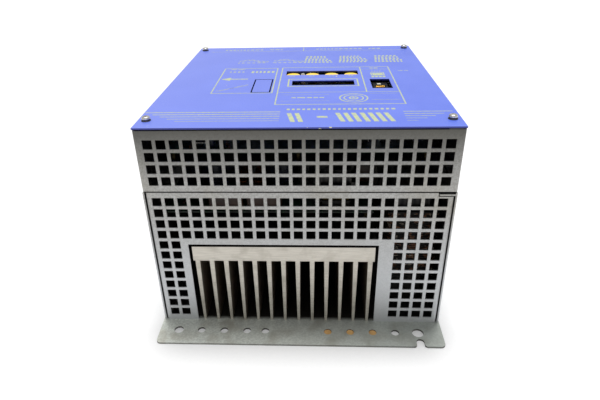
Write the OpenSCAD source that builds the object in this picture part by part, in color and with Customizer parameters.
// Wall-mounted motor drive in a ventilated sheet-steel case. Millimetres.
// The drive lies on its back: +Z points out of the front cover, +Y towards the fan end,
// and the origin is in the middle of the back plate's underside.

/* [Case] */
// Width of the case
case_w = 300; // [280:1:380]
// Length of the case between its two end faces
case_l = 327.5; // [320:0.5:420]
// Height from the back plate to the face of the front cover
case_h = 225; // [215:1:280]
// Height of the lower housing above the back plate
lower_h = 159; // [155:1:180]
// Gap between the lower housing and the hood
joint_gap = 1.4; // [1:0.1:2.5]
// Thickness of the case sheets
sheet_t = 1.5; // [1:0.1:2]
// Outer radius of the sheet bends
bend_r = 3; // [2.5:0.1:5]
// Length of the hood panels' side returns
hood_return = 15; // [12:1:30]
// Length of the end plates' side returns
end_return = 16; // [12:1:24]
// Clearance between an end plate and the side wall next to it
end_gap = 0.7; // [0.3:0.1:1.2]

/* [Back plate] */
// Thickness of the back plate
base_t = 2; // [1.5:0.1:4]
// Length of each mounting flange
flange_l = 36.5; // [30:0.5:60]
// Width of back plate outside each side wall
base_lip = 1; // [0.5:0.1:4]
// Radius of the flange corners
base_corner_r = 5; // [2:0.5:10]
// Distance of the flange holes from the end face
flange_hole_y = 17; // [14:0.5:24]
// Diameter of the round mounting hole
mount_hole_d = 10; // [6:0.1:12]
// Distance of the round mounting hole from the middle
mount_hole_x = 130.5; // [120:0.5:140]
// Diameter of the wide mounting hole
wide_hole_d = 12; // [8:0.1:14]
// Distance of the wide mounting hole from the middle
wide_hole_x = 125.5; // [118:0.5:140]
// Diameter of the small flange holes
small_hole_d = 8.3; // [5:0.1:10]
// Spacing of the small holes on the side of the round hole
small_pitch_a = 24.7; // [22:0.1:26]
// Spacing of the small holes on the side of the wide hole
small_pitch_b = 23.8; // [22:0.1:26]
// Width of the open slot in the flange edge
slot_w = 8.3; // [6:0.1:10]
// Length of the open slot
slot_l = 10.5; // [8:0.5:12]

/* [Vent grid] */
// Side of one square vent hole
vent_hole = 9.2; // [6:0.1:10]
// Distance between vent holes
vent_pitch = 12.5; // [11:0.1:15]
// Height of the lowest hood row above the hood's edge
hood_vent_foot = 10.8; // [8:0.1:14]
// Height of the lowest row above the back plate
lower_vent_foot = 11.2; // [8:0.1:14]
// Sheet left between a vent hole and another opening
vent_margin = 4; // [2:0.5:8]

/* [Heatsink] */
// Width of the heatsink
sink_w = 187; // [150:1:190]
// Length of the heatsink
sink_l = 270; // [230:1:275]
// Thickness of the heatsink slab
sink_slab = 17.5; // [10:0.5:20]
// Height of the cooling fins
fin_h = 79; // [60:1:80]
// Number of cooling fins
fin_count = 13; // [8:1:14]
// Thickness of a fin at the slab
fin_root = 5; // [3:0.1:6]
// Thickness of a fin at its tip
fin_tip = 2.9; // [1.5:0.1:4]
// Overhang of the slab past the outer fins
fin_inset = 2; // [1:0.5:6]
// Position of the heatsink to the left of the middle
sink_off = 16; // [10:0.5:20]
// Gap between the heatsink and its opening
sink_gap = 3; // [2:0.5:5]

/* [Fans] */
// Side of a fan frame
fan_w = 92; // [80:1:92]
// Depth of a fan frame
fan_d = 25; // [20:1:32]
// Distance between a fan's mounting holes
fan_hole_pitch = 82.5; // [70:0.5:83]
// Number of blades on a rotor
blade_count = 7; // [5:1:9]
// Gap between the blade tips and the frame
blade_gap = 1.5; // [1:0.1:3]
// Gap between the two fans
fan_gap = 2; // [1:0.5:3]

/* [Front cover] */
// Thickness of the front cover
cover_t = 1.5; // [1:0.1:2.5]
// Gap between the front cover and the hood panels
cover_gap = 1.2; // [0.8:0.1:2]
// Distance of the cover screws from the side edges
screw_in_x = 8.5; // [7:0.5:10]
// Distance of the cover screws from the edge at the outlet end
screw_in_near = 20; // [14:0.5:24]
// Distance of the cover screws from the edge at the fan end
screw_in_far = 15; // [13:0.5:24]
// Length of the key slot
key_slot_l = 85.5; // [82:0.5:100]
// Width of the key slot and of the display slot
slot_h = 18; // [17:0.5:22]
// Length of the display slot
display_slot_l = 70; // [60:0.5:76]
// Distance of the key row from the outlet end
key_y = 183.5; // [178:0.5:190]
// Distance of the display from the outlet end
display_y = 140.5; // [136:0.5:146]
// Position of the keys and the display to the right of the middle
panel_x = 24.7; // [20:0.1:30]
// Width of the jack window
jack_win_w = 22; // [18:0.5:24]
// Length of the jack window
jack_win_l = 36; // [30:0.5:40]
// Position of the jack to the right of the middle
jack_x = 89.7; // [86:0.1:94]
// Distance of the jack window from the outlet end
jack_win_y = 136; // [132:0.5:140]

/* [Keys] */
// Diameter of a key cap
key_d = 20; // [14:0.1:20.4]
// Distance between key caps
key_pitch = 23.1; // [20:0.1:24]
// Depth of the key caps below the face of the cover
key_sink = 2; // [1.8:0.1:4]
// Height of a key cap
key_h = 6.5; // [4:0.1:7]
// Travel of a key
key_travel = 1; // [0.5:0.1:1.2]

/* [Access flap] */
// Width of the flap opening
flap_open_w = 21.5; // [20:0.5:26]
// Length of the flap opening
flap_open_l = 51.5; // [46:0.5:60]
// Gap all round the flap
flap_gap = 1.5; // [1.2:0.1:2]
// Thickness of the flap
flap_t = 1.2; // [1:0.1:1.4]
// Position of the flap to the left of the middle
flap_off = 42.6; // [38:0.1:50]
// Distance of the flap from the outlet end
flap_y = 131.5; // [126:0.5:136]
// Diameter of the flap's hinge pin
pin_d = 2.5; // [2:0.1:3]

/* [Boards] */
// Thickness of a circuit board
board_t = 1.6; // [1.2:0.1:2.4]
// Height of the gap between the heatsink and the power board
power_board_rise = 25.5; // [22:0.5:30]
// Height of the control shelf above the back plate
shelf_h = 176; // [172:0.5:200]
// Height of the gap between the shelf and the control board
control_rise = 10.8; // [8:0.1:14]
// Depth of the display board below the face of the cover
display_board_drop = 20; // [18:0.5:24]
// Diameter of a storage capacitor
can_d = 40; // [30:1:42]
// Height of a storage capacitor
can_h = 46; // [35:1:48]

/* [Choke] */
// Width of the choke across its coils
choke_w = 56; // [45:1:58]
// Length of the choke core
choke_l = 108; // [90:1:120]
// Height of the choke core
choke_h = 110; // [70:1:112]
// Height of the choke above the back plate
choke_rise = 30; // [20:1:60]

/* [Fasteners] */
// Diameter of the case screws
screw_d = 4; // [3:0.5:5]
// Diameter of a case screw's head
head_d = 8; // [7:0.1:9]
// Height of a case screw's head
head_h = 2.6; // [2:0.1:3.5]
// Radial clearance of a screw in a threaded hole
thread_gap = 0.05; // [0.02:0.01:0.1]
// Radial clearance of a screw in a plain hole
hole_gap = 0.25; // [0.15:0.05:0.5]
// Radial clearance of a turning or sliding fit
run_gap = 0.05; // [0.02:0.01:0.1]

/* [Hidden] */
$fn = 48;
// Overlap of solids that are joined, and how far a cut runs past the faces it opens
eps = 0.01;
past = 1;

// Faces and levels of the case
end_y = case_l / 2;
wall_x = case_w / 2;
wall_in_x = wall_x - sheet_t;
cover_z = base_t + case_h - cover_t;
face_z = base_t + case_h;
lower_top = base_t + lower_h;
hood_z = lower_top + joint_gap;
hood_top = cover_z - cover_gap;
hood_h = hood_top - hood_z;
end_plate_w = 2 * (wall_in_x - end_gap);
steel = "silver";
zinc = "gainsboro";

// Heatsink and fans
sink_x = -sink_off;
sink_top = base_t + fin_h + sink_slab;
fin_pitch = (sink_w - 2 * fin_inset - fin_root) / (fin_count - 1);
fan_xs = [sink_x - (fan_w + fan_gap) / 2, sink_x + (fan_w + fan_gap) / 2];
fan_hole_steps = [-fan_hole_pitch / 2, fan_hole_pitch / 2];
fan_rise = 2;
fan_z = base_t + fan_rise + fan_w / 2;
fan_y = end_y - sheet_t - fan_d;
fan_rim = 2;
fan_bore_d = fan_w - 2 * fan_rim;
rotor_r = fan_bore_d / 2 - blade_gap;
hub_d = 34;
hub_wall = 3;
hub_l = 18;
fan_base_t = 4;
fan_shaft_d = 3;
fan_tube_d = 8;
rotor_lift = 1;
rotor_y = fan_y + fan_base_t + rotor_lift;
guard_t = 1.6;

// Places on the front cover
y0 = -end_y;
display_x = panel_x + 0.7;
keys_at = [for (i = [0:3]) panel_x + (i - 1.5) * key_pitch];
key_top = face_z - key_sink;
display_board_z = face_z - display_board_drop;
display_board_top = display_board_z + board_t;
key_stop_gap = 1;
switch_h = key_top - key_h - key_travel - key_stop_gap - display_board_top;
stem_d = 6;
stem_l = 4;
flap_w = flap_open_w - 2 * flap_gap;
flap_l = flap_open_l - 2 * flap_gap;
flap_x0 = -flap_off - flap_w / 2;
hinge_in = 4;
hinge_drop = 4;
hinge_x = flap_x0 + hinge_in;
hinge_z = face_z - hinge_drop;
flap_cy = y0 + flap_y;
lug_t = 1.5;
cover_screw_xs = [-wall_x + screw_in_x, wall_x - screw_in_x];
cover_screw_ys = [y0 + screw_in_near, end_y - screw_in_far];
side_screw_in = 9;
side_screw_y = end_y - side_screw_in;
side_screw_zs = [base_t + 26.7, base_t + 145.7];

// Boards
power_board_z = sink_top + power_board_rise;
power_top = power_board_z + board_t;
shelf_z = base_t + shelf_h;
shelf_t = 1.2;
control_board_z = shelf_z + shelf_t + control_rise;
control_top = control_board_z + board_t;
choke_x = wall_in_x - end_gap - sheet_t - choke_w / 2;
choke_in = 38;
choke_y = y0 + choke_in + choke_l / 2;
choke_z = base_t + choke_rise;
coil_proud = 11;
core_w = choke_w - 2 * coil_proud;
yoke = 14;
limb_pitch = (choke_l - yoke) / 2;
coil_gap = 1;
grommet_d = 25;
grommet_bore = 16;
grommet_lip = 2.3;
grommet_in = sheet_t + end_gap + bend_r + grommet_d / 2 + grommet_lip;
grommet_pitch = 32.5;
grommet_at = [for (in = [grommet_in + grommet_pitch, grommet_in]) for (rise = [32, 72])
    [wall_x - in, base_t + rise]];

// --- shared shapes ---

// Square with its two front corners rounded, from [0, 0]
module front_rounded(w, l, r) {
    translate([r, 0]) square([w - 2 * r, l]);
    translate([0, r]) square([w, l - r]);
    for (x = [r, w - r]) translate([x, r]) circle(r);
}

// Section of a sheet bent into a U: the web lies on y = 0 and the returns run towards +y
module bent_u(w, l, t = sheet_t, r = bend_r) {
    difference() {
        front_rounded(w, l, r);
        translate([t, t]) front_rounded(w - 2 * t, l, r - t);
    }
}

// True where a vent hole at [x, z] stays clear of every box [x0, x1, z0, z1]
function clear_of(x, z, boxes) =
    len([for (b = boxes)
        if (x + vent_hole / 2 + vent_margin > b[0] && x - vent_hole / 2 - vent_margin < b[1]
            && z + vent_hole / 2 + vent_margin > b[2] && z - vent_hole / 2 - vent_margin < b[3]) b]) == 0;

// Square holes through a panel whose outer face is at y = 0, from height z0 over height h
module vent_holes(z0, h, foot, boxes = []) {
    cols = floor(case_w / vent_pitch) - 1;
    rows = floor(h / vent_pitch);
    for (i = [0:cols - 1]) for (j = [0:rows - 1]) {
        x = (i - (cols - 1) / 2) * vent_pitch;
        z = z0 + foot + j * vent_pitch;
        if (clear_of(x, z, boxes))
            translate([x - vent_hole / 2, -past, z - vent_hole / 2])
                cube([vent_hole, sheet_t + 2 * past, vent_hole]);
    }
}

module at_both_ends() {
    children();
    rotate([0, 0, 180]) children();
}

module hex_pillar(d, h) {
    cylinder(d = d, h = h, $fn = 6);
}

// Pan-head screw pointing down, with the underside of its head at z = 0
module pan_screw(length, d = screw_d, head = head_d, high = head_h) {
    crown = 0.8;
    rotate_extrude() {
        translate([0, -length]) square([d / 2, length + eps]);
        square([head / 2, high - crown]);
        polygon([[0, high - crown], [head / 2, high - crown], [head / 2 - crown, high], [0, high]]);
    }
}

// --- back plate and lower housing ---

module flange_holes() {
    hole_y = y0 - flange_hole_y;
    edge_y = y0 - flange_l;
    slot_x = wide_hole_x + 0.5;
    slot_r = slot_w / 2;
    flare_r = 3;
    last_hole_step = 3.8;
    translate([-mount_hole_x, hole_y]) circle(d = mount_hole_d);
    translate([wide_hole_x, hole_y]) circle(d = wide_hole_d);
    for (step = [1, 2, 3, last_hole_step])
        translate([-mount_hole_x + step * small_pitch_a, hole_y]) circle(d = small_hole_d);
    for (step = [1:4]) translate([wide_hole_x - step * small_pitch_b, hole_y]) circle(d = small_hole_d);
    translate([slot_x, edge_y + slot_l - slot_r]) circle(slot_r);
    translate([slot_x - slot_r, edge_y - past]) square([slot_w, slot_l - slot_r + past]);
    // the slot's mouth flares out into the edge
    difference() {
        translate([slot_x - slot_r - flare_r, edge_y - past])
            square([slot_w + 2 * flare_r, flare_r + past]);
        for (s = [-1, 1]) translate([slot_x + s * (slot_r + flare_r), edge_y + flare_r]) circle(flare_r);
    }
}

module base_outline() {
    w = case_w + 2 * base_lip;
    l = case_l + 2 * flange_l;
    r = base_corner_r;
    square([w - 2 * r, l], center = true);
    square([w, l - 2 * r], center = true);
    for (x = [-1, 1]) for (y = [-1, 1]) translate([x * (w / 2 - r), y * (l / 2 - r)]) circle(r);
}

module base_plate() {
    color(zinc) linear_extrude(base_t) difference() {
        base_outline();
        at_both_ends() flange_holes();
    }
}

module side_wall() {
    foot_w = 5;
    foot_in = end_return + 4;
    tab_w = 16.5;
    tab_l = 15;
    tab_z = lower_top - 2 * sheet_t;
    tab_hole_in = 9;
    tab_hole_d = 3.4;
    difference() {
        union() {
            translate([wall_in_x, -end_y, base_t]) cube([sheet_t, case_l, lower_h]);
            translate([wall_x - foot_w, -end_y + foot_in, base_t])
                cube([foot_w, case_l - 2 * foot_in, sheet_t]);
            translate([wall_x - tab_w, -end_y, tab_z]) cube([tab_w, tab_l, sheet_t]);
        }
        for (y = [-1, 1]) for (z = side_screw_zs) translate([wall_in_x - past, y * side_screw_y, z])
            rotate([0, 90, 0]) cylinder(r = screw_d / 2 + hole_gap, h = sheet_t + 2 * past);
        translate([wall_x - tab_hole_in, -end_y + tab_l / 2, tab_z - past])
            cylinder(d = tab_hole_d, h = sheet_t + 2 * past);
    }
}

module side_wall_right() { color(steel) side_wall(); }
module side_wall_left() { color(steel) rotate([0, 0, 180]) side_wall(); }

// End plate of the lower housing with its outer face on y = 0, before its openings are cut
module end_plate_blank() {
    notch_w = 17.5;
    notch_h = 4;
    difference() {
        translate([-end_plate_w / 2, 0, base_t]) linear_extrude(lower_h) bent_u(end_plate_w, end_return);
        translate([wall_x - notch_w, -past, lower_top - notch_h])
            cube([notch_w, end_return + 2 * past, notch_h + past]);
        for (x = [-1, 1]) for (z = side_screw_zs) translate([x * end_plate_w / 2, side_screw_in, z])
            rotate([0, 90, 0])
                cylinder(r = screw_d / 2 + thread_gap, h = 2 * (sheet_t + past), center = true);
    }
}

// Round hole through a sheet that lies on y = 0
module end_bore(x, z, r) {
    translate([x, -past, z]) rotate([-90, 0, 0]) cylinder(r = r, h = sheet_t + 2 * past);
}

module outlet_end_plate() {
    x0 = sink_x - sink_w / 2 - sink_gap;
    x1 = sink_x + sink_w / 2 + sink_gap;
    color(steel) translate([0, -end_y, 0]) difference() {
        end_plate_blank();
        translate([x0, -past, base_t - past])
            cube([x1 - x0, sheet_t + 2 * past, sink_top + sink_gap - base_t + past]);
        vent_holes(base_t, lower_h, lower_vent_foot, [[x0, x1, 0, sink_top + sink_gap]]);
    }
}

module inlet_end_plate() {
    // seen from outside this plate is turned, so places along x change sign
    keep_out = concat(
        [for (x = fan_xs) [-x - fan_w / 2, -x + fan_w / 2, fan_z - fan_w / 2, fan_z + fan_w / 2]],
        [for (g = grommet_at) [-g[0] - grommet_d / 2, -g[0] + grommet_d / 2,
            g[1] - grommet_d / 2, g[1] + grommet_d / 2]]);
    color(steel) rotate([0, 0, 180]) translate([0, -end_y, 0]) difference() {
        end_plate_blank();
        vent_holes(base_t, lower_h, lower_vent_foot, keep_out);
        for (x = fan_xs) {
            end_bore(-x, fan_z, fan_bore_d / 2);
            for (a = fan_hole_steps) for (b = fan_hole_steps)
                end_bore(-x + a, fan_z + b, screw_d / 2 + hole_gap);
        }
        for (g = grommet_at) end_bore(-g[0], g[1], grommet_d / 2);
    }
}

// --- hood and front cover ---

module hood_end_panel() {
    tab_w = 16;
    difference() {
        translate([-wall_x, 0, hood_z]) union() {
            linear_extrude(hood_h) bent_u(case_w, hood_return);
            translate([case_w - tab_w, 0, 0]) cube([tab_w - bend_r, sheet_t, hood_h + cover_gap]);
        }
        vent_holes(hood_z, hood_h, hood_vent_foot);
    }
}

module hood_outlet_panel() { color(steel) translate([0, -end_y, 0]) hood_end_panel(); }
module hood_inlet_panel() { color(steel) rotate([0, 0, 180]) translate([0, -end_y, 0]) hood_end_panel(); }

// Side sheet between the returns of the end panels, with its ends and its skirt stepped inwards
module hood_side_panel() {
    skirt_h = 12;
    step = 2 * sheet_t;
    skirt_in = end_return + 4;
    skin_in = hood_return + 0.4;
    inner_x = wall_in_x - sheet_t;
    translate([wall_in_x, -end_y + skin_in, hood_z]) cube([sheet_t, case_l - 2 * skin_in, hood_h]);
    for (y = [-end_y + bend_r, end_y - skin_in - step])
        translate([inner_x, y, hood_z]) cube([sheet_t, skin_in + step - bend_r, hood_h]);
    translate([inner_x, -end_y + skirt_in, hood_z - skirt_h])
        cube([sheet_t, case_l - 2 * skirt_in, skirt_h + step]);
}

module hood_right_panel() { color(steel) hood_side_panel(); }
module hood_left_panel() { color(steel) rotate([0, 0, 180]) hood_side_panel(); }

module cover_cutouts() {
    translate([panel_x, y0 + key_y]) square([key_slot_l, slot_h], center = true);
    translate([display_x, y0 + display_y]) square([display_slot_l, slot_h], center = true);
    translate([jack_x, y0 + jack_win_y]) square([jack_win_w, jack_win_l], center = true);
    translate([-flap_off, flap_cy]) square([flap_open_w, flap_open_l], center = true);
    for (x = cover_screw_xs) for (y = cover_screw_ys) translate([x, y]) circle(screw_d / 2 + hole_gap);
}

module front_cover() {
    color("royalblue") translate([0, 0, cover_z]) linear_extrude(cover_t) difference() {
        square([case_w, case_l], center = true);
        cover_cutouts();
    }
}

module cover_brackets() {
    leg = 17;
    arm = 12;
    bracket_w = 16;
    color(zinc) for (s = [0, 1]) for (y = cover_screw_ys) difference() {
        mirror([1 - s, 0, 0]) translate([0, y - bracket_w / 2, 0]) {
            translate([wall_in_x - sheet_t - arm, 0, cover_z - sheet_t]) cube([arm, bracket_w, sheet_t]);
            translate([wall_in_x - 2 * sheet_t, 0, cover_z - leg]) cube([sheet_t, bracket_w, leg]);
        }
        translate([cover_screw_xs[s], y, cover_z - sheet_t - past])
            cylinder(r = screw_d / 2 + thread_gap, h = sheet_t + 2 * past);
    }
}

washer_stack = 1.8;
module cover_screws() {
    color("lightgrey") for (x = cover_screw_xs) for (y = cover_screw_ys)
        translate([x, y, face_z + washer_stack]) pan_screw(9);
}

module cover_washers() {
    flat_t = 0.8;
    flat_d = 9;
    spring_d = 7.4;
    color("dimgrey") for (x = cover_screw_xs) for (y = cover_screw_ys) translate([x, y, face_z])
        difference() {
            union() {
                cylinder(d = flat_d, h = flat_t);
                cylinder(d = spring_d, h = washer_stack);
            }
            translate([0, 0, -past]) cylinder(r = screw_d / 2 + run_gap, h = washer_stack + 2 * past);
        }
}

module side_screws() {
    color("lightgrey") for (x = [-1, 1]) for (y = [-1, 1]) for (z = side_screw_zs)
        translate([x * wall_x, y * side_screw_y, z]) rotate([0, x * 90, 0]) pan_screw(6, high = 2);
}

module flange_plugs() {
    color("peru") for (i = [2:4]) translate([wide_hole_x - i * small_pitch_b, y0 - flange_hole_y, 0])
        cylinder(r = small_hole_d / 2 - run_gap, h = 0.6 * base_t);
}

// --- access flap ---

lug_r = 2.3;
module access_flap() {
    lug_in = 2;
    color("royalblue") difference() {
        union() {
            translate([flap_x0, flap_cy - flap_l / 2, face_z - flap_t]) cube([flap_w, flap_l, flap_t]);
            for (s = [-1, 1]) translate([hinge_x, flap_cy + s * (flap_l / 2 - lug_in), 0])
                rotate([90, 0, 0]) linear_extrude(lug_t, center = true) {
                    translate([0, hinge_z]) circle(lug_r);
                    translate([-lug_r, hinge_z]) square([2 * lug_r, hinge_drop - flap_t + eps]);
                }
        }
        translate([hinge_x, flap_cy, hinge_z]) rotate([90, 0, 0])
            cylinder(r = pin_d / 2 + run_gap, h = flap_l + 2 * past, center = true);
    }
}

hinge_ear_y = flap_open_l / 2 + 1.5;
module flap_hinge_pin() {
    color("grey") translate([hinge_x, flap_cy, hinge_z]) rotate([90, 0, 0])
        cylinder(d = pin_d, h = 2 * (hinge_ear_y + lug_t + past), center = true);
}

module flap_hinge_brackets() {
    ear_w = 8;
    ear_foot = 3;
    stop_w = 7;
    stop_l = 16;
    stop_t = 1.2;
    stop_lap = 3;
    press_gap = 0.02;
    color(zinc) {
        for (s = [-1, 1]) difference() {
            translate([hinge_x - ear_w / 2, flap_cy + s * (hinge_ear_y + lug_t / 2) - lug_t / 2,
                hinge_z - ear_foot]) cube([ear_w, lug_t, cover_z - hinge_z + ear_foot]);
            translate([hinge_x, flap_cy, hinge_z]) rotate([90, 0, 0])
                cylinder(r = pin_d / 2 + press_gap, h = 2 * hinge_ear_y + 4 * lug_t, center = true);
        }
        translate([flap_x0 + flap_w - stop_lap, flap_cy - stop_l / 2, cover_z - stop_t])
            cube([stop_w, stop_l, stop_t]);
    }
}

// --- keys, display and service jack ---

module key(i) {
    crown = 1.2;
    color("gold") translate([keys_at[i], y0 + key_y, key_top - key_h]) rotate_extrude() {
        square([key_d / 2, key_h - crown]);
        polygon([[0, key_h - crown], [key_d / 2, key_h - crown], [key_d / 2 - crown, key_h], [0, key_h]]);
        translate([0, -stem_l]) square([stem_d / 2, stem_l + eps]);
    }
}

module key_1() { key(0); }
module key_2() { key(1); }
module key_3() { key(2); }
module key_4() { key(3); }

module key_switches() {
    body_w = 12;
    stem_room = 0.6;
    color("dimgrey") for (x = keys_at) translate([x, y0 + key_y, display_board_top]) difference() {
        translate([-body_w / 2, -body_w / 2, 0]) cube([body_w, body_w, switch_h]);
        translate([0, 0, switch_h - stem_l - stem_room])
            cylinder(r = stem_d / 2 + run_gap, h = stem_l + stem_room + past);
    }
}

module status_lamp() {
    lamp_w = 5;
    lamp_l = 3;
    from_keys = 5;
    drop = 0.5;
    color("white")
        translate([(keys_at[0] + keys_at[1] - lamp_w) / 2, y0 + key_y + from_keys, display_board_top])
            cube([lamp_w, lamp_l, key_top - display_board_top - drop]);
}

glass_drop = 6;
glass_w = 72;
glass_l = 19;
glass_rise = 2;
glass_z = face_z - glass_drop;
module display_bezel() {
    rim = 4;
    proud = 1;
    color("dimgrey") translate([display_x, y0 + display_y, display_board_top]) difference() {
        translate([-glass_w / 2 - rim, -glass_l / 2 - rim, 0])
            cube([glass_w + 2 * rim, glass_l + 2 * rim, glass_z - display_board_top + proud]);
        translate([-glass_w / 2, -glass_l / 2, glass_rise]) cube([glass_w, glass_l, glass_z]);
    }
}

module display_glass() {
    color("black")
        translate([display_x - glass_w / 2, y0 + display_y - glass_l / 2, display_board_top + glass_rise])
            cube([glass_w, glass_l, glass_z - display_board_top - glass_rise]);
}

display_board_x0 = panel_x - 52.7;
display_board_w = 138;
display_board_y0 = y0 + display_y - 24.5;
display_board_l = 90;
module display_board() {
    color("darkgreen") translate([display_board_x0, display_board_y0, display_board_z])
        cube([display_board_w, display_board_l, board_t]);
}

module display_spacers() {
    spacer_in = 4;
    color("khaki") for (x = [display_board_x0 + spacer_in, display_board_x0 + display_board_w - spacer_in])
        for (y = [display_board_y0 + spacer_in, display_board_y0 + display_board_l - spacer_in])
            translate([x, y, control_top]) hex_pillar(6, display_board_z - control_top);
}

jack_w = 16;
jack_l = 21;
jack_cy = y0 + jack_win_y + 5.5;
jack_top = face_z - 3.5;
jack_tall = jack_top - display_board_top;
cavity_w = 11.7;
cavity_l = 7;
cavity_deep = 11;
module service_jack() {
    latch_w = 6;
    latch_l = 2;
    color("black") translate([jack_x, jack_cy, display_board_top]) difference() {
        translate([-jack_w / 2, -jack_l / 2, 0]) cube([jack_w, jack_l, jack_tall]);
        translate([-cavity_w / 2, -cavity_l, jack_tall - cavity_deep])
            cube([cavity_w, cavity_l, cavity_deep + past]);
        translate([-latch_w / 2, -cavity_l - latch_l, jack_tall - cavity_deep])
            cube([latch_w, latch_l + eps, cavity_deep + past]);
    }
}

module jack_contacts() {
    contacts = 8;
    contact_pitch = 1.27;
    contact = [0.7, 0.4, 8.6];
    color("gold") for (i = [0:contacts - 1])
        translate([jack_x + (i - (contacts - 1) / 2) * contact_pitch - contact[0] / 2, jack_cy - contact[1],
            jack_top - contact[2] - 0.4]) cube(contact);
}

socket_h = 4.5;
module memory_socket() {
    color("dimgrey") translate([-flap_off - 9, flap_cy - 19, control_top]) cube([18, 38, socket_h]);
}

module memory_chip() {
    color("black") translate([-flap_off - 7, flap_cy - 18, control_top + socket_h]) cube([14, 36, 4]);
}

// --- control electronics under the hood ---

shelf_w = 2 * wall_in_x;
shelf_in = 24;
shelf_l = case_l - 58;
control_y0 = y0 + shelf_in + 4;
control_l = shelf_l - 9;
control_w = case_w - 40;
ribbon_w = 34;
ribbon_t = 1.2;
ribbon_x = -control_w / 2 - 5;
ribbon_y = 3;
module control_shelf() {
    slot_gap = 2;
    return_l = 12;
    shelf_bend_r = 2.4;
    color(zinc) difference() {
        translate([-shelf_w / 2, y0 + shelf_in, shelf_z + shelf_t]) rotate([-90, 0, 0])
            linear_extrude(shelf_l) bent_u(shelf_w, return_l, shelf_t, shelf_bend_r);
        translate([ribbon_x - slot_gap, ribbon_y - ribbon_w / 2 - slot_gap, shelf_z - past])
            cube([ribbon_t + 2 * slot_gap, ribbon_w + 2 * slot_gap, shelf_t + 2 * past]);
    }
}

module control_board() {
    color("darkgreen") translate([-control_w / 2, control_y0, control_board_z])
        cube([control_w, control_l, board_t]);
}

module control_spacers() {
    spacer_in = 6;
    color("khaki") for (x = [-1, 0, 1])
        for (y = [control_y0 + spacer_in, control_y0 + control_l - spacer_in])
            translate([x * (control_w / 2 - spacer_in), y, shelf_z + shelf_t]) hex_pillar(6, control_rise);
}

module control_chips() {
    chip_h = 4;
    color("black") {
        translate([-10, y0 + 60, control_top]) cube([32, 32, chip_h]);
        for (i = [0:3]) translate([-110, y0 + 50 + i * 26, control_top]) cube([22, 9, chip_h]);
        for (i = [0:2]) translate([60 + i * 22, y0 + 50, control_top]) cube([9, 22, chip_h]);
    }
}

// Row of terminal blocks, each with a screw well on top and a wire hole at the fan end
module terminal_row(count, pitch, size, well_d, wells, wire, wires) {
    gap = 0.2;
    for (i = [0:count - 1]) translate([i * pitch + gap, 0, 0]) difference() {
        cube([pitch - 2 * gap, size[0], size[1]]);
        for (y = wells) translate([pitch / 2 - gap, y, 0.75 * size[1]]) cylinder(d = well_d, h = size[1]);
        for (y = wires) translate([(pitch - wire[0]) / 2 - gap, y, wire[2]])
            cube([wire[0], size[0] / 4, wire[1]]);
    }
}

module control_terminals() {
    pitch = 10;
    size = [14, 16];
    edge = 10;
    count = floor((control_w - 2 * edge) / pitch);
    color("seagreen") translate([-count * pitch / 2, control_y0 + control_l - size[0] - edge, control_top])
        terminal_row(count, pitch, size, 4.4, [size[0] / 2], [4.4, 5, 3], [0.8 * size[0]]);
}

// Flat cable from the top of the control board down to the power board
module ribbon_cable() {
    over_board = 13;
    color("lightgrey") translate([ribbon_x, ribbon_y, 0]) rotate([90, 0, 0])
        linear_extrude(ribbon_w, center = true) {
            translate([0, control_top]) square([over_board, ribbon_t]);
            translate([0, power_top]) square([ribbon_t, control_top + ribbon_t - power_top]);
        }
}

// --- power electronics on the heatsink ---

power_x0 = -wall_in_x + 6.5;
power_x1 = sink_x + sink_w / 2 - 1;
power_y0 = y0 + 26;
power_l = sink_l - 32;
bus_x = sink_x - 42;
can_pitch = 46;
can_ys = [for (i = [0:3]) y0 + 104 + i * can_pitch];
module power_board() {
    color("darkgreen") translate([power_x0, power_y0, power_board_z])
        cube([power_x1 - power_x0, power_l, board_t]);
}

module power_spacers() {
    spacer_in = 8;
    color("khaki") for (x = [-1, 1]) for (y = [power_y0 + 10, y0 + 140, power_y0 + power_l - 10])
        translate([sink_x + x * (sink_w / 2 - spacer_in), y, sink_top]) hex_pillar(8, power_board_rise);
}

module storage_capacitors() {
    foot = 2;
    bead = 1;
    color("midnightblue") for (x = [-1, 1]) for (y = can_ys)
        translate([bus_x + x * (can_d / 2 + 16), y, power_top]) rotate_extrude() {
            square([can_d / 2 - bead, can_h]);
            translate([0, foot]) square([can_d / 2, can_h - foot - bead]);
        }
}

module dc_busbars() {
    bar = [10, 170, 3];
    bar_pitch = 18;
    color("peru") for (x = [-1, 1])
        translate([bus_x + x * bar_pitch / 2 - bar[0] / 2, y0 + 90, power_top]) cube(bar);
}

module snubber_capacitors() {
    snubber_pitch = 40;
    color("saddlebrown") for (i = [0, 1])
        translate([sink_x - 78 + i * snubber_pitch, power_y0 + 4, power_top]) cube([36, 14, 21]);
}

module current_sensors() {
    body = [24, 28, 24];
    window_d = 11;
    edge = 16.5;
    color("navy") for (y = [140, 180]) translate([power_x1 - body[0] - edge, y0 + y, power_top])
        difference() {
            cube(body);
            translate([-past, body[1] / 2, body[1] / 2]) rotate([0, 90, 0])
                cylinder(d = window_d, h = body[0] + 2 * past);
        }
}

module supply_transformer() {
    flange_w = 40;
    flange_d = 34;
    foot_h = 8;
    winding_h = 16;
    winding_in = [4, 6];
    cap_h = 7;
    edge = 18.5;
    color("goldenrod") translate([power_x1 - flange_w - edge, power_y0 + 8, power_top]) {
        cube([flange_w, flange_d, foot_h]);
        translate([winding_in[0], winding_in[1], foot_h])
            cube([flange_w - 2 * winding_in[0], flange_d - 2 * winding_in[1], winding_h]);
        translate([0, 0, foot_h + winding_h]) cube([flange_w, flange_d, cap_h]);
    }
}

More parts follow.
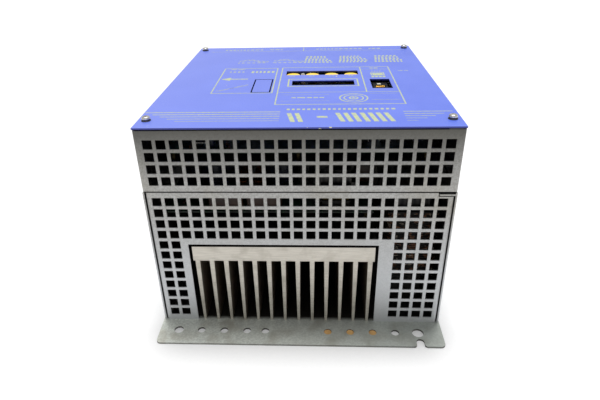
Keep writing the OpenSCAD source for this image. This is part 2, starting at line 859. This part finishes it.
// Power modules screwed to the heatsink, each as its size and its distance from the outlet end
module_h = 17;
transistor_size = [122, 62];
transistor_y = y0 + 96;
rectifier_size = [94, 34];
rectifier_y = y0 + 186;
module transistor_module() {
    color("whitesmoke") translate([sink_x - transistor_size[0] / 2, transistor_y, sink_top])
        cube([transistor_size[0], transistor_size[1], module_h]);
}

module rectifier_module() {
    color("whitesmoke") translate([sink_x - rectifier_size[0] / 2, rectifier_y, sink_top])
        cube([rectifier_size[0], rectifier_size[1], module_h]);
}

// Two rows of pins from the top of a module up to the power board
module pin_rows(size, y, count, pitch, pin_w) {
    pin_t = 2;
    pin_in = 5;
    for (i = [0:count - 1]) for (row = [y + pin_in, y + size[1] - pin_in - pin_t])
        translate([sink_x + (i - (count - 1) / 2) * pitch - pin_w / 2, row, sink_top + module_h])
            cube([pin_w, pin_t, power_board_z - sink_top - module_h]);
}

module module_pins() {
    color("goldenrod") {
        pin_rows(transistor_size, transistor_y, 8, 14, 5);
        pin_rows(rectifier_size, rectifier_y, 5, 18, 6);
    }
}

module heatsink() {
    slab_z = base_t + fin_h;
    fin = [[-fin_tip / 2, base_t], [fin_tip / 2, base_t],
        [fin_root / 2, slab_z + eps], [-fin_root / 2, slab_z + eps]];
    color("lightgrey") translate([sink_x, y0 + 0.5, 0]) rotate([90, 0, 180]) linear_extrude(sink_l) {
        translate([-sink_w / 2, slab_z]) square([sink_w, sink_slab]);
        for (i = [0:fin_count - 1]) translate([(i - (fin_count - 1) / 2) * fin_pitch, 0]) polygon(fin);
    }
}

module heatsink_brackets() {
    foot = 14;
    thick = 2;
    wide = 24;
    tall = fin_h + 8;
    color(zinc) for (s = [0, 1]) for (y = [40, sink_l - 60])
        translate([sink_x, y0 + y, base_t]) mirror([1 - s, 0, 0]) translate([sink_w / 2, 0, 0]) {
            cube([thick, wide, tall]);
            cube([foot, wide, thick]);
        }
}

// --- fans ---

module fan_frame() {
    tube_l = hub_l - hub_wall;
    spoke_w = 4;
    spoke_in = 10;
    floor_t = 1.5;
    difference() {
        translate([-fan_w / 2, 0, -fan_w / 2]) cube([fan_w, fan_d, fan_w]);
        translate([0, -past, 0]) rotate([-90, 0, 0]) cylinder(d = fan_bore_d, h = fan_d + 2 * past);
        for (a = fan_hole_steps) for (b = fan_hole_steps) translate([a, -past, b]) rotate([-90, 0, 0])
            cylinder(r = screw_d / 2 + thread_gap, h = fan_d + 2 * past);
    }
    rotate([-90, 0, 0]) difference() {
        union() {
            cylinder(d = hub_d, h = fan_base_t);
            cylinder(d = fan_tube_d, h = tube_l);
            for (a = [45:90:315]) rotate(a) translate([spoke_in, -spoke_w / 2, 0])
                cube([fan_bore_d / 2 - spoke_in + fan_rim / 4, spoke_w, fan_base_t]);
        }
        translate([0, 0, floor_t]) cylinder(r = fan_shaft_d / 2 + run_gap, h = tube_l);
    }
}

module fan_frames() {
    color("dimgrey") for (x = fan_xs) translate([x, fan_y, fan_z]) fan_frame();
}

// Rotor with its axis on +Y and its open end at y = 0
module fan_rotor() {
    blade_l = 15;
    blade_t = 1.2;
    blade_root = 2;
    chord = 27;
    pitch_angle = 38;
    shaft_out = 2.5;
    rotate([-90, 0, 0]) {
        difference() {
            cylinder(d = hub_d, h = hub_l);
            translate([0, 0, -past]) cylinder(d = hub_d - 2 * hub_wall, h = hub_l - hub_wall + past);
        }
        translate([0, 0, -shaft_out]) cylinder(d = fan_shaft_d, h = hub_l);
        intersection() {
            difference() {
                cylinder(r = rotor_r, h = blade_l + 2);
                translate([0, 0, -past]) cylinder(r = hub_d / 2 - 1, h = blade_l + 4);
            }
            for (i = [0:blade_count - 1]) rotate(i * 360 / blade_count)
                translate([hub_d / 2 - blade_root, 0, blade_l / 2 + 1]) rotate([pitch_angle, 0, 0])
                    translate([0, -chord / 2, -blade_t / 2]) cube([rotor_r, chord, blade_t]);
        }
    }
}

module fan_rotor_left() { color("black") translate([fan_xs[0], rotor_y, fan_z]) fan_rotor(); }
module fan_rotor_right() { color("black") translate([fan_xs[1], rotor_y, fan_z]) fan_rotor(); }

// Rings and four spokes that end in eyes at the fan's mounting holes
module guard_pattern() {
    wire = 2;
    ring_pitch = 8;
    eye_r = 4.6;
    for (r = [ring_pitch:ring_pitch:5 * ring_pitch]) difference() {
        circle(r);
        circle(r - wire);
    }
    for (a = [45:90:315]) rotate(a) translate([ring_pitch - wire / 2, -wire / 2])
        square([fan_hole_pitch / sqrt(2) - eye_r - ring_pitch + wire, wire]);
    for (a = fan_hole_steps) for (b = fan_hole_steps) translate([a, b]) difference() {
        circle(eye_r);
        circle(screw_d / 2 + hole_gap);
    }
}

module fan_guards() {
    color("lightgrey") for (x = fan_xs) translate([x, end_y, fan_z]) rotate([-90, 0, 0])
        linear_extrude(guard_t) guard_pattern();
}

module fan_screws() {
    color("dimgrey") for (x = fan_xs) for (a = fan_hole_steps) for (b = fan_hole_steps)
        translate([x + a, end_y + guard_t, fan_z + b]) rotate([-90, 0, 0]) pan_screw(14, high = 2.2);
}

// --- choke, terminals and cable entries in the side compartment ---

module choke_core() {
    window_w = limb_pitch - yoke;
    color("slategrey") translate([choke_x, choke_y, choke_z]) rotate([90, 0, 90])
        linear_extrude(core_w, center = true) difference() {
            translate([-choke_l / 2, 0]) square([choke_l, choke_h]);
            for (s = [-1, 1]) translate([s * limb_pitch / 2 - window_w / 2, yoke])
                square([window_w, choke_h - 2 * yoke]);
        }
}

module choke_coils() {
    coil_l = limb_pitch - 2 * coil_gap;
    coil_h = choke_h - 2 * (yoke + coil_gap);
    fit = 0.2;
    color("peru") for (i = [-1:1]) translate([choke_x, choke_y + i * limb_pitch, choke_z + choke_h / 2])
        difference() {
            cube([choke_w, coil_l, coil_h], center = true);
            cube([core_w + 2 * fit, yoke + 2 * fit, coil_h + 2 * past], center = true);
        }
}

module choke_stand() {
    thick = 2;
    color(zinc) translate([choke_x, choke_y, base_t]) rotate([90, 0, 90])
        linear_extrude(core_w, center = true) translate([-choke_l / 2, 0]) difference() {
            square([choke_l, choke_rise]);
            translate([thick, -past]) square([choke_l - 2 * thick, choke_rise - thick + past]);
        }
}

module power_terminals() {
    size = [44, 46];
    row_in = 66;
    far_in = 46;
    well_in = 7;
    color("grey") translate([wall_x - row_in, end_y - far_in - size[0], base_t])
        terminal_row(6, 10, size, 6, [well_in, size[0] - well_in], [6.4, 8, 20], [-past, 0.78 * size[0]]);
}

module cable_grommets() {
    lip_t = 2;
    wall = (grommet_d - grommet_bore) / 2;
    color("black") for (g = grommet_at) translate([g[0], end_y - sheet_t, g[1]]) rotate([-90, 0, 0])
        rotate_extrude() translate([grommet_bore / 2, 0]) {
            translate([0, -lip_t]) square([wall, sheet_t + 2 * lip_t]);
            translate([0, -lip_t]) square([wall + grommet_lip, lip_t]);
            translate([0, sheet_t]) square([wall + grommet_lip, lip_t]);
        }
}

// --- what is drawn ---
base_plate();
side_wall_left();
side_wall_right();
outlet_end_plate();
inlet_end_plate();
hood_outlet_panel();
hood_inlet_panel();
hood_left_panel();
hood_right_panel();
front_cover();
cover_brackets();
cover_screws();
cover_washers();
side_screws();
flange_plugs();
access_flap();
flap_hinge_pin();
flap_hinge_brackets();
key_1();
key_2();
key_3();
key_4();
key_switches();
status_lamp();
display_bezel();
display_glass();
display_board();
display_spacers();
service_jack();
jack_contacts();
memory_chip();
memory_socket();
control_shelf();
control_board();
control_spacers();
control_chips();
control_terminals();
ribbon_cable();
power_board();
power_spacers();
storage_capacitors();
dc_busbars();
snubber_capacitors();
current_sensors();
supply_transformer();
transistor_module();
rectifier_module();
module_pins();
heatsink();
heatsink_brackets();
fan_frames();
fan_rotor_left();
fan_rotor_right();
fan_guards();
fan_screws();
choke_core();
choke_coils();
choke_stand();
power_terminals();
cable_grommets();
